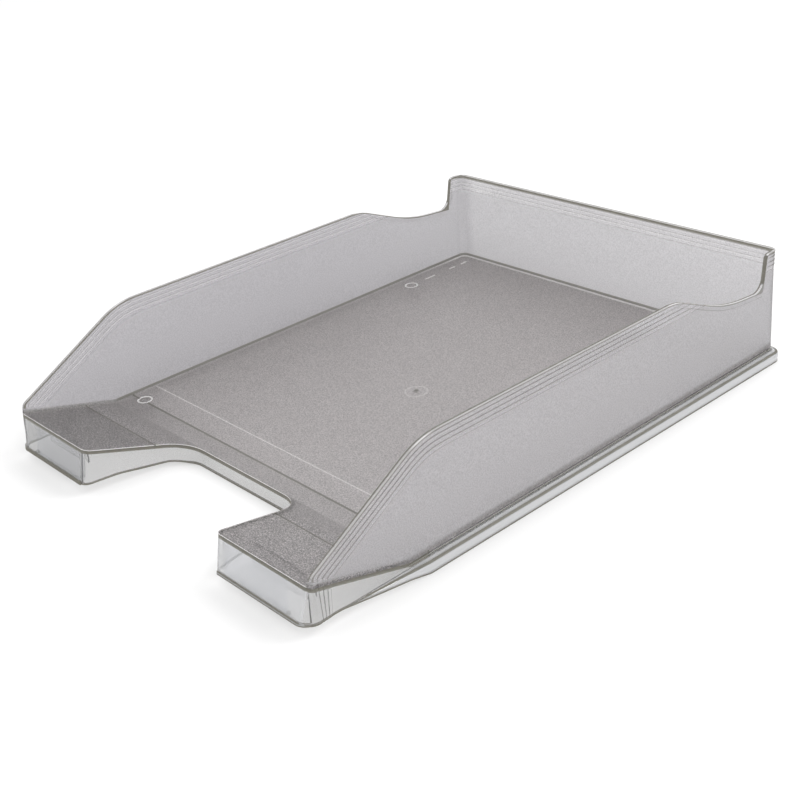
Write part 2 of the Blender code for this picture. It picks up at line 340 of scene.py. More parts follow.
def skirt():
    """Ledge and skirt, with a rounded upper edge and a small fillet up to the walls."""
    full, full_back = HALF_WIDTH - side_at(0), BACK - back_at(0)
    paths = [flange_path(full, full_back, z, SKIRT_CORNER) for z in (SKIRT_FOOT, LEDGE_TOP - 1.6)]
    for step in range(1, 5):
        a = math.pi / 2 * step / 4
        inset = 1.4 * (1 - math.cos(a))
        z = LEDGE_TOP - 1.6 + 1.5 * math.sin(a)
        paths.append(flange_path(full - inset, full_back - inset, z, SKIRT_CORNER - inset))
    for outset, z in ((1.2, LEDGE_TOP), (0.45, LEDGE_TOP + 0.35), (0.0, LEDGE_TOP + 1.2)):
        paths.append(flange_path(outset, outset, z, CORNER + outset))
    paths.append(inner_path(1.0, LEDGE_TOP + 1.2, 4))
    paths.append(inner_path(1.0, SKIRT_FOOT, 4))
    return loft("skirt", [list(ring) for ring in zip(*paths)])


def ledge_hollow():
    """The channel under the ledge that takes the rim of the tray below."""
    outset, back_outset = HALF_WIDTH - side_at(0) - WALL, BACK - back_at(0) - WALL
    top = LEDGE_TOP - WALL
    outer = [flange_path(outset, back_outset, z, 5) for z in (-10, top)]
    for path in outer:
        path[0] = (side_at(0) - WALL, FADE[1] - 2, path[0][2])
        path[-1] = (-path[0][0], FADE[1] - 2, path[0][2])
    inner = [inner_path(WALL + 1.3, z, 3.5, 2) for z in (top, -10)]
    return loft("hollow", [list(ring) for ring in zip(*outer, *inner)])


def band_grid(path_at, profile, side):
    """Stations along a rim path; path_at(d) is the (depth, height) path at distance d below the rim line."""
    columns = [(path_at(d), proud) for d, proud in profile]
    rings = []
    for i in range(len(columns[0][0])):
        ring = []
        for path, proud in columns:
            y, z = path[i]
            x = side_at(max(z, 0)) + proud
            ring.append((side * x, y, z))
        rings.append(ring)
    return rings


def side_bands(side):
    """Four stepped bands outside the rim, from the lug's foot up the ramp to the notch."""
    corners = [(BAND_FOOT, BAND_LOW, 0), *RIM[1:3], (112, HEIGHT, 0)]

    def path_at(d):
        moved = shifted(corners, -d, closed=False)
        moved[0] = (BAND_FOOT + BAND_FOOT_SPREAD * d, BAND_LOW, 0)
        return rounded_path(moved, 12)

    profile = [(-12.0, BANDS[0][1]), *BANDS, (9.95, -1.0), (-12.0, -1.0)]
    return loft("bands", band_grid(path_at, profile, side))


def notch_border(side):
    """A plain raised border along the notch's edge."""
    corners = [(68, HEIGHT, 0), *NOTCH_LINE, (161.2, HEIGHT + 10, 0)]

    def path_at(d):
        return rounded_path(shifted(corners, -d, closed=False), 12)

    profile = [(-0.5, 0.62), (2.5, 0.5), (2.9, 0.0), (2.9, -1.0), (-0.5, -1.0)]
    return loft("border", band_grid(path_at, profile, side))


def back_bands():
    """The same bands round the back corners and along the back wall."""
    profile = [*BANDS, (9.95, -1.0), (0.0, -1.0)]
    columns = []
    for d, proud in profile:
        z = HEIGHT - d
        side, back = side_at(z) + proud, back_at(z) + proud
        radius = CORNER + proud
        corners = [(side, 160.5, 0), (side, back, radius), (-side, back, radius), (-side, 160.5, 0)]
        columns.append([(p.x, p.y, z) for p in rounded_path(corners, 10)])
    return loft("back_bands", [list(ring) for ring in zip(*columns)])


def rim_cutter():
    line = [(-FAR, LUG_TOP, 0), *RIM, (FAR, HEIGHT, 0), (FAR, FAR, 0), (-FAR, FAR, 0)]
    return sideways("rim_cutter", rounded(line, 14), -FAR, FAR)


def paper_space():
    """Open space above floor and ramps, with a fillet along the foot of the walls."""
    fillet = 2.2
    stations = [-FAR, FRONT_TOP, RAMP_CREASE, RAMP_START - 0.001, RAMP_START + 0.001, 60]
    rings = []
    for a in (0, 0.4, 0.8, 1.2, math.pi / 2):
        inset, rise = fillet * (1 - math.sin(a)), fillet * (1 - math.cos(a))
        x, y_back = side_at(12) - WALL - inset, back_at(12) - WALL - inset
        plan = [(x, y) for y in stations]
        turn = arc(Vector((x, y_back)), Vector((0, -1)), Vector((-1, 0)), CORNER - inset * 0.6, 8)
        plan += [(p.x, p.y) for p in turn]
        plan += [(-px, py) for px, py in reversed(plan)]
        rings.append([(px, py, ramp_at(py) + rise) for px, py in plan])
    top = []
    for px, py, _ in rings[-1]:
        spread = (side_at(HEIGHT) - side_at(12)) * (1 if px > 0 else -1)
        deeper = back_at(HEIGHT) - back_at(12) if py > 150 else 0
        top.append((px + spread, py + deeper, HEIGHT))
    rings.append(top)
    rings.append([(px, py, FAR) for px, py, _ in top])
    bm = bmesh.new()
    made = [[bm.verts.new(Vector(p) * MM) for p in ring] for ring in rings]
    count = len(made[0])
    for lower, upper in zip(made, made[1:]):
        for i in range(count):
            j = (i + 1) % count
            bm.faces.new((lower[i], lower[j], upper[j]))
            bm.faces.new((lower[i], upper[j], upper[i]))
    floor, half = made[0], len(stations)
    for i in range(half - 2):
        j = count - 1 - i
        bm.faces.new((floor[i], floor[j], floor[j - 1], floor[i + 1]))
    bm.faces.new(floor[half - 2 : count - half + 2])
    cap(bm, made[-1])
    return finish_mesh("paper_space", bm)


def underside():
    """The hollow below floor, ramps and lugs."""
    ramp_wall = WALL * math.hypot(1, RAMP_RISE)
    low = RAMP_START + (ramp_wall - WALL) / RAMP_RISE
    far = FLOOR_TOP - WALL + (low + FAR) * RAMP_RISE
    side = [(low, FLOOR_TOP - WALL), (-FAR, far), (-FAR, -FAR), (FAR, -FAR), (FAR, FLOOR_TOP - WALL)]
    hollow = loft("underside", [plan_ring(z, WALL) for z in (-20.0, LUG_FOOT, 10.0, 15.0, 20.0, LUG_TOP, 60.0)])
    return combine(hollow, sideways("profile", side, -FAR, FAR), "INTERSECT")


def foot_cutter(start, left, right):
    """Lifts the bottom edge from the skirt's foot to the lugs' foot."""
    end = FADE[1]
    line = [
        (start, SKIRT_FOOT - 0.02, 0),
        (start + (end - start) * FOOT_KNEE[0], LUG_FOOT * FOOT_KNEE[1], 14),
        (start + (end - start) * 0.6, LUG_FOOT * 0.66, 60),
        (end, LUG_FOOT, 60),
        (-FAR, LUG_FOOT, 0),
        (-FAR, -FAR, 0),
        (start, -FAR, 0),
    ]
    return sideways("foot_cutter", rounded(line, 5), left, right)


def lug_details(body, side):
    """The cross rib, label guides and lip of one lug; side is -1 or 1."""

    def span(a, b):
        return sorted((side * a, side * b))

    rib = [(-159.7, 9.0), (-158.3, 9.0), (-158.5, ramp_at(-159) - 0.9), (-159.5, ramp_at(-159) - 0.9)]
    add(body, sideways("rib", rib, *span(*RIB_SIDES)))
    top = LUG_TOP - WALL * math.hypot(1, RAMP_RISE) - 0.5
    channel = WALL + LABEL + 0.6
    for edge, inward, low, high in ((LABEL_SIDES[0], 1, 8.0, top), (LABEL_SIDES[1], -1, 6.0, 7.4)):
        add(body, raked("leg", *span(edge - inward * 0.3, edge + inward * 0.3), (0.9, channel + 0.6), low, high))
        add(body, raked("return", *span(edge, edge + inward * 1.6), (channel, channel + 0.6), low, high - 0.4))
    low, high = LUG_FOOT + 0.1, LUG_FOOT + 1.8
    bead = loft("lip", [[(px, py - 0.95, z) for px, py, _ in plan_ring(z, 0, -0.08)] for z in (low, high)])
    x0, x1 = span(60, 128)
    combine(bead, block("reach", (x0, -180, 0), (x1, -160, 20)), "INTERSECT")
    cut(bead, loft("core", [plan_ring(z, 0.9) for z in (low - 1, high + 1)]))
    add(body, bead)


def tray_solid():
    body = walls_block()
    add(body, skirt())
    for side in (-1, 1):
        add(body, combine(side_bands(side), walls_block(0.62, -5, 90), "INTERSECT"))
        add(body, notch_border(side))
    add(body, back_bands())
    cut(body, rim_cutter())
    cut(body, paper_space())
    cut(body, underside())
    cut(body, ledge_hollow())
    cut(body, foot_cutter(FADE[0], -FAR, -EDGE_SPLIT))
    cut(body, foot_cutter(FADE[0], EDGE_SPLIT, FAR))
    cut(body, foot_cutter(CUT_FADE, -EDGE_SPLIT - 0.2, EDGE_SPLIT + 0.2))
    for side in (-1, 1):
        lug_details(body, side)
    floor_details(body)
    return body


def floor_details(body):
    """Stud bosses, gate pip, rings, creases and dashes."""
    under = FLOOR_TOP - WALL
    for name in ("foot_front_left", "foot_front_right", "foot_rear_left", "foot_rear_right"):
        low, high = (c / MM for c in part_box(name))
        spot = (low + high) / 2
        foot = low.z + 1.2
        add(body, turned("boss", spot, [(4.3, under + 0.9), (4.3, foot)]))
        cut(body, turned("bore", spot, [(2.9, under), (2.9, foot - 2)]))
        cut(body, ring_groove(spot, BOSS_RING, 0.75, 0.35))
    pip = [(0.9, FLOOR_TOP + 0.75), (1.7, FLOOR_TOP + 0.45), (2.3, FLOOR_TOP - 0.3)]
    add(body, turned("gate", GATE_SPOT, pip))
    cut(body, ring_groove(GATE_SPOT, GATE_RING, 0.5, 0.12))
    for y, width, depth in ((CREASE, 1.1, 0.3), (LIGHT_LINE, 0.5, 0.15)):
        groove = crease(y, width / 2, FLOOR_TOP, depth, 0.0)
        cut(body, sideways("crease", groove, -111, 111))
    groove = crease(RAMP_CREASE, 0.4, ramp_at(RAMP_CREASE), 0.25, 0.11)
    for side in (-1, 1):
        left, right = sorted((side * 40, side * 121))
        cut(body, sideways("crease", groove, left, right))
        for y0, y1 in DASHES:
            low = (side * DASH_LINE - 0.45, y0, FLOOR_TOP - 0.3)
            high = (side * DASH_LINE + 0.45, y1, FLOOR_TOP + 0.3)
            add(body, block("dash", low, high))


def crease(y, half, z, depth, slope):
    """Outline of a V groove at depth y in a surface of height z, which falls by slope over half on the far side."""
    return [(y - half, z + 0.5), (y - half, z + slope), (y, z - depth), (y + half, z - slope), (y + half, z + 0.5)]


def ring_groove(spot, radius, width, depth):
    """A ring-shaped V cutter in the floor's upper face."""
    bm = bmesh.new()
    steps = 48
    profile = [(-width / 2, 0.4), (-width / 2, 0.02), (0, -depth), (width / 2, 0.02), (width / 2, 0.4)]
    rings = []
    for k in range(steps):
        a = 2 * math.pi * k / steps
        ring = []
        for out, z in profile:
            x, y = spot[0] + (radius + out) * math.cos(a), spot[1] + (radius + out) * math.sin(a)
            ring.append(bm.verts.new(Vector((x, y, FLOOR_TOP + z)) * MM))
        rings.append(ring)
    for k in range(steps):
        here, after = rings[k], rings[(k + 1) % steps]
        for i in range(len(profile)):
            j = (i + 1) % len(profile)
            bm.faces.new((here[i], here[j], after[j], after[i]))
    return finish_mesh("ring_groove", bm)


# ---------------------------------------------------------------- materials


class Tree:
    """Short calls for building one material's node tree."""

    def __init__(self, name):
        self.material = bpy.data.materials.new(name)
        self.material.use_nodes = True
        self.nodes = self.material.node_tree.nodes
        self.links = self.material.node_tree.links
        self.nodes.clear()

    def node(self, kind, settings=None, **inputs):
        made = self.nodes.new("ShaderNode" + kind)
        for key, value in (settings or {}).items():
            setattr(made, key, value)
        for key, value in inputs.items():
            self.put(made.inputs[key.replace("_", " ")], value)
        return made

    def put(self, socket, value):
        if isinstance(value, bpy.types.NodeSocket):
            self.links.new(value, socket)
        else:
            socket.default_value = value

    def math(self, operation, *values):
        made = self.node("Math", {"operation": operation})
        for socket, value in zip(made.inputs, values):
            self.put(socket, value)
        return made.outputs[0]

    def ramp(self, value, low, high, out_low, out_high):
        made = self.node("MapRange", {"clamp": True}, Value=value)
        for key, number in (("From Min", low), ("From Max", high), ("To Min", out_low), ("To Max", out_high)):
            self.put(made.inputs[key], number)
        return made.outputs[0]

    def mix(self, factor, first, second):
        made = self.node("Mix", {"data_type": "RGBA"})
        self.put(made.inputs[0], factor)
        self.put(made.inputs[6], first)
        self.put(made.inputs[7], second)
        return made.outputs[2]

    def plus(self, first, second):
        return self.math("ADD", first, second)

    def minus(self, first, second):
        return self.math("SUBTRACT", first, second)

    def fold(self, operation, values):
        total, *rest = values
        for value in rest:
            total = self.math(operation, total, value)
        return total

    def product(self, *values):
        return self.fold("MULTIPLY", values)

    def most(self, *values):
        return self.fold("MAXIMUM", values)

    def least(self, *values):
        return self.fold("MINIMUM", values)

    def line(self, value, centre, half, soft):
        """1 within half of centre, falling to 0 over soft."""
        away = self.math("ABSOLUTE", self.minus(value, centre))
        return self.ramp(away, half, half + soft, 1.0, 0.0)

    def grey(self, value):
        made = self.node("CombineColor")
        for socket in made.inputs[:3]:
            self.put(socket, value)
        return made.outputs[0]

    def tinted(self, first, second):
        """One colour multiplied by another."""
        made = self.node("Mix", {"data_type": "RGBA", "blend_type": "MULTIPLY"})
        self.put(made.inputs[0], 1.0)
        self.put(made.inputs[6], first)
        self.put(made.inputs[7], second)
        return made.outputs[2]

    def noise(self, coordinates, scale, detail=2.0, roughness=0.5):
        return self.node("TexNoise", Vector=coordinates, Scale=scale, Detail=detail, Roughness=roughness).outputs[0]


def clear_plastic(tree, roughness, tint, absorb, bump, haze):
    """Closes a clear plastic's tree. Shadow and diffuse rays cross it straight, which keeps the light even."""
    shader = tree.node("BsdfPrincipled", None, Base_Color=tint, Roughness=roughness, IOR=1.57, Transmission_Weight=1.0)
    tree.put(shader.inputs["Normal"], bump)
    path = tree.node("LightPath")
    straight = tree.most(path.outputs["Is Shadow Ray"], path.outputs["Is Diffuse Ray"])
    open_way = tree.node("BsdfTransparent", None, Color=(0.93, 0.93, 0.93, 1))
    amount, colour = haze
    both = tree.node("AddShader")
    for socket, kind in zip(both.inputs, ("BsdfDiffuse", "BsdfTranslucent")):
        tree.put(socket, tree.node(kind, None, Color=colour).outputs[0])
    clouded = tree.node("MixShader")
    for socket, value in zip(clouded.inputs, (amount, shader.outputs[0], both.outputs[0])):
        tree.put(socket, value)
    surface = tree.node("MixShader")
    for socket, value in zip(surface.inputs, (straight, clouded.outputs[0], open_way.outputs[0])):
        tree.put(socket, value)
    volume = tree.node("VolumeAbsorption", None, Color=(*absorb[0], 1), Density=absorb[1])
    out = tree.node("OutputMaterial")
    tree.put(out.inputs["Surface"], surface.outputs[0])
    tree.put(out.inputs["Volume"], volume.outputs[0])
    return tree.material


def line_height(tree, depth, first, second):
    """Height, at some depth, of the line through two corners of the rim."""
    (y0, z0), (y1, z1) = first[:2], second[:2]
    return tree.minus(z0, tree.product(tree.minus(depth, y0), (z0 - z1) / (y1 - y0)))


def below_rim(tree, depth, height):
    """Distance below the rim line, which climbs from the lug's foot to the crest and is level from there back."""
    slope = math.atan2(HEIGHT - BAND_START[1], BAND_CREST - BAND_START[0])
    along = tree.product(tree.minus(depth, BAND_CREST), math.sin(slope))
    down = tree.minus(HEIGHT, height)
    sloped = tree.plus(along, tree.product(down, math.cos(slope)))
    drop = BAND_START[1] - BAND_LOW
    under = tree.most(tree.minus(BAND_START[1], height), 0.0)
    shift = tree.product(under, (BAND_FOOT - BAND_START[0]) / drop)
    behind = tree.minus(tree.minus(depth, BAND_START[0]), shift)
    narrow = tree.product(under, (1 - BAND_FOOT_SPREAD) / drop)
    behind = tree.math("DIVIDE", behind, tree.minus(1.0, narrow))
    return tree.math("SMOOTH_MIN", tree.math("SMOOTH_MIN", down, sloped, 8.0), behind, 2.0)


def notch_height(tree, depth):
    """Height of the notch's edge in the side walls' rim."""
    falling = line_height(tree, depth, NOTCH_LINE[0], NOTCH_LINE[1])
    lowest = line_height(tree, depth, NOTCH_LINE[1], NOTCH_LINE[2])
    notch = tree.math("SMOOTH_MIN", HEIGHT, tree.math("SMOOTH_MAX", falling, lowest, 7.2), 4.4)
    last_y, last_z, _ = NOTCH_LINE[2]
    return tree.plus(notch, tree.ramp(depth, last_y, NOTCH_END, 0, HEIGHT - last_z))


def bottom_edge(tree, depth, across):
    """Height of the bottom edge, which falls from the lugs' foot to the skirt's foot."""
    length = tree.ramp(across, EDGE_SPLIT - 0.1, EDGE_SPLIT + 0.1, CUT_FADE - FADE[1], FADE[0] - FADE[1])
    run = tree.math("DIVIDE", tree.minus(depth, FADE[1]), length)
    away, knee = 1 - FOOT_KNEE[0], LUG_FOOT * FOOT_KNEE[1]
    first = tree.minus(LUG_FOOT, tree.product(run, (LUG_FOOT - knee) / away))
    second = tree.minus(knee, tree.product(tree.minus(run, away), (knee - SKIRT_FOOT) / FOOT_KNEE[0]))
    return tree.least(LUG_FOOT, tree.most(tree.least(first, second), SKIRT_FOOT))


def smoke_masks(tree, place_mm):
    """Where on the moulding a point is: named factors from 0 to 1, and the distances they are made from; some factors
    place painted shade and painted highlight lines.
    """
    split = tree.node("SeparateXYZ", None, Vector=place_mm)
    x, depth, height = split.outputs["X"], split.outputs["Y"], split.outputs["Z"]
    across = tree.math("ABSOLUTE", x)
    facing = tree.node("SeparateXYZ", None, Vector=tree.node("NewGeometry").outputs["Normal"])
    upright = tree.ramp(tree.math("ABSOLUTE", facing.outputs["Z"]), 0.5, 0.6, 1.0, 0.0)
    fore = tree.ramp(tree.math("ABSOLUTE", facing.outputs["Y"]), 0.6, 0.8, 0.0, 1.0)
    rise = tree.product(tree.most(tree.minus(RAMP_START, depth), 0.0), RAMP_RISE)
    over = tree.minus(tree.minus(height, rise), FLOOR_TOP)  # above the floor or ramp
    below = below_rim(tree, depth, height)
    lean = tree.product(height, (SIDE_FOOT - SIDE_RIM) / HEIGHT)
    within = tree.least(tree.minus(SIDE_FOOT, tree.plus(across, lean)), tree.minus(BACK_RIM, depth))
    wall = tree.ramp(over, 2.4, 2.8, 0.0, 1.0)
    m = {"x": x, "depth": depth, "across": across, "upright": upright, "over": over, "below": below}
    m["grained"] = tree.ramp(over, -0.5, -0.2, 0.0, 1.0)
    m["floor"] = tree.product(m["grained"], tree.ramp(over, 0.2, 2.2, 1.0, 0.0))
    m["inside"] = tree.ramp(within, 1.2, 1.3, 0.0, 1.0)

    # the stepped bands: a painted shade line and a painted highlight line in each, standing in for how light falls on
    # their steps; the highlight is painted stronger on the left and on the back
    in_bands = tree.ramp(below, BAND_DEEP - 0.1, BAND_DEEP + 0.1, 1.0, 0.0)
    m["banded"] = tree.product(in_bands, wall)
    step = tree.product(tree.math("FRACT", tree.math("DIVIDE", tree.plus(below, 0.6), BAND_STEP)), BAND_STEP)
    outer_face = tree.ramp(within, 0.8, 0.9, 1.0, 0.0)
    outer = tree.product(m["banded"], outer_face)
    clear_side = tree.product(
        tree.ramp(over, -2.6, -2.4, 1.0, 0.0),
        tree.ramp(across, 122.4, 122.8, 0.0, 1.0),
        in_bands,
        tree.ramp(below, 1.5, 2.0, 0.0, 1.0),
    )
    band_dark = tree.product(tree.most(outer, clear_side), tree.line(step, 0.45, 0.14, 0.12))
    bright = tree.most(tree.ramp(x, -110, 110, 1.0, 0.35), tree.ramp(depth, 164, 168, 0.0, 1.0))
    m["band_light"] = tree.product(outer, bright, tree.line(step, 1.0, 0.2, 0.15))
    gap = tree.minus(notch_height(tree, depth), height)
    # painted shade: a dark line along the notch's raised border, added to the bands' painted shade
    border = tree.product(
        tree.line(gap, 2.75, 0.12, 0.15),
        tree.ramp(depth, 86, 90, 0.0, 1.0),
        wall,
        tree.ramp(depth, 157, 158, 1.0, 0.0),
        outer_face,
    )
    m["band_dark"] = tree.most(band_dark, border)

    # the rim: painted shade along its edges and at the notch's cut end, a painted highlight along its middle
    rim = tree.least(below, gap)
    edge = tree.product(tree.ramp(rim, 0.4, 0.5, 1.0, 0.0), wall)
    thick = tree.most(
        tree.ramp(within, 0.95, 1.1, 0.0, 1.0), tree.product(tree.ramp(within, -0.3, -0.2, 1.0, 0.0), 0.6)
    )
    thin = tree.most(tree.ramp(within, 1.35, 1.5, 0.0, 1.0), tree.ramp(within, -0.45, -0.35, 1.0, 0.0))
    back = tree.ramp(depth, 163, 166, 0.0, 1.0)
    thick = tree.plus(tree.product(thin, back), tree.product(thick, tree.minus(1.0, back)))
    cut_end = tree.product(tree.line(depth, 159.0, 2.6, 0.3), fore, tree.ramp(height, 43, 45, 0.0, 1.0))
    m["edge_dark"] = tree.most(tree.product(edge, thick), cut_end)
    level = tree.ramp(upright, 0.0, 1.0, 1.0, 0.0)
    middle = tree.most(tree.line(within, 0.2, 0.6, 0.15), tree.product(back, tree.line(within, 0.45, 0.75, 0.1)))
    m["rim_light"] = tree.product(tree.ramp(rim, 0.3, 0.4, 1.0, 0.0), wall, level, middle)

    # the floor plate's edge, with a painted shade band and a painted highlight line, the front panes, and the skirt
    # with its ledge, with painted shade lines
    front_part = tree.ramp(depth, -104, -96, 1.0, 0.0)
    m["plate_dark"] = tree.product(tree.line(over, -1.3, 0.9, 0.12), upright, front_part)
    side = tree.ramp(across, 121.0, 121.5, 1.0, 0.0)
    m["plate_light"] = tree.product(tree.line(over, -0.12, 0.14, 0.08), upright, side)
    flange = tree.most(tree.ramp(across, 124.0, 124.3, 0.0, 1.0), tree.ramp(depth, 170.8, 171.0, 0.0, 1.0))
    m["flange"] = tree.product(flange, tree.ramp(height, LEDGE_TOP + 0.2, LEDGE_TOP + 0.4, 1.0, 0.0))
    face = tree.minus(depth, tree.product(tree.minus(height, LUG_FOOT), RAKE))
    on_pane = tree.ramp(face, FRONT_FOOT + 0.3, FRONT_FOOT + 0.9, 1.0, 0.0)
    m["pane"] = tree.product(on_pane, tree.ramp(over, -2.2, -2.0, 1.0, 0.0))
    # painted shade: dark lines along the ledge's edges, at the walls' foot, along the bottom edge and on the front
    # lip, darker over the whole lip on the left
    rims = tree.most(tree.line(height, 0.8, 0.3, 0.15), tree.line(height, 6.15, 0.3, 0.12))
    foot = tree.product(tree.line(height, 7.75, 0.16, 0.12), upright, tree.ramp(depth, -104, -96, 0.0, 1.0))
    bottom = bottom_edge(tree, depth, across)
    hem = tree.product(tree.line(tree.minus(height, bottom), 0.25, 0.3, 0.15), tree.ramp(depth, -97, -96, 1.0, 0.0))
    front = tree.product(tree.ramp(depth, -171.8, -171.7, 1.0, 0.0), tree.ramp(height, 8.0, 8.1, 1.0, 0.0))
    lip = tree.most(tree.ramp(x, -5, 5, 1.0, 0.0), tree.line(height, LUG_FOOT + 1.6, 0.3, 0.15))
    m["flange_dark"] = tree.most(tree.product(rims, flange), foot, hem, tree.product(front, lip))
    return m


def floor_marks(tree, m):
    """Painted shade in the creases and along the walls' fillet, and painted highlights on the rings, the light groove,
    the fillet's edge and the dashes, in the floor's upper face: (dark, light) factors for painted shade and painted
    highlight.
    """
    depth, over = m["depth"], m["over"]
    dark = tree.most(tree.line(depth, RAMP_CREASE, 0.4, 0.15), tree.line(depth, CREASE, 0.5, 0.2))
    light = tree.product(tree.line(depth, LIGHT_LINE, 0.35, 0.2), 0.6, tree.ramp(over, 0.1, 0.3, 1.0, 0.0))
    rings = [(spot, BOSS_RING, m["across"], 0.9) for spot in BOSS_SPOTS] + [(GATE_SPOT, GATE_RING, m["x"], 0.45)]
    for spot, radius, x, strength in rings:
        dx, dy = tree.minus(x, spot[0]), tree.minus(depth, spot[1])
        reach = tree.math("SQRT", tree.plus(tree.product(dx, dx), tree.product(dy, dy)))
        light = tree.most(light, tree.product(tree.line(reach, radius, 0.45, 0.25), strength))
        dark = tree.product(dark, tree.ramp(reach, radius, radius + 0.5, 0.0, 1.0))
    level = tree.ramp(m["upright"], 0.0, 1.0, 1.0, 0.0)
    nearer = tree.ramp(depth, 100, 160, 0.25, 1.0)
    light = tree.most(light, tree.product(tree.line(over, 0.25, 0.2, 0.05), 0.65, nearer, level))
    dashes = tree.most(*(tree.line(depth, (y0 + y1) / 2, (y1 - y0) / 2, 0.1) for y0, y1 in DASHES))
    dashes = tree.product(dashes, tree.line(m["across"], DASH_LINE, 0.45, 0.1))
    light = tree.most(light, tree.product(dashes, tree.ramp(over, 0.4, 0.5, 0.7, 0.0)))
    flat = tree.ramp(depth, RAMP_START - 2, RAMP_START + 2, 0.3, 1.0)
    fillet = tree.product(tree.line(over, 1.2, 0.5, 0.2), flat, m["inside"])
    dark = tree.most(tree.product(dark, tree.ramp(over, 0.5, 0.8, 1.0, 0.0)), fillet)
    on_floor = tree.ramp(over, -0.6, -0.5, 0.0, 1.0)
    return tree.product(dark, on_floor), tree.product(light, on_floor)


def floor_tone(tree, m):
    """Factor for the depth of tone, by zone: floor, the strip in front of it, ramps, lug tops; a band along the left
    wall's foot and the left lug are painted darker, as shade.
    """
    depth, x = m["depth"], m["x"]
    tone = tree.ramp(depth, -101.9, -101.3, 0.86, 1.0)
    tone = tree.least(tone, tree.ramp(depth, -113.5, -112.0, 0.72, 1.0))
    # painted shade: a darker band on the floor along the left wall's foot
    tone = tree.product(tone, tree.ramp(x, -119.5, -112.0, 0.88, 1.0))
    # lug tops' tone, painted darker towards the left lug, as shade
    lug = tree.ramp(x, -60.0, 60.0, 0.54, 0.74)
    far = tree.ramp(depth, RAMP_CREASE - 0.3, RAMP_CREASE + 0.3, 1.0, 0.0)
    made = tree.node("Mix", {"data_type": "FLOAT"})
    for socket, value in zip((made.inputs[0], made.inputs[2], made.inputs[3]), (far, tone, lug)):
        tree.put(socket, value)
    return made.outputs[0]


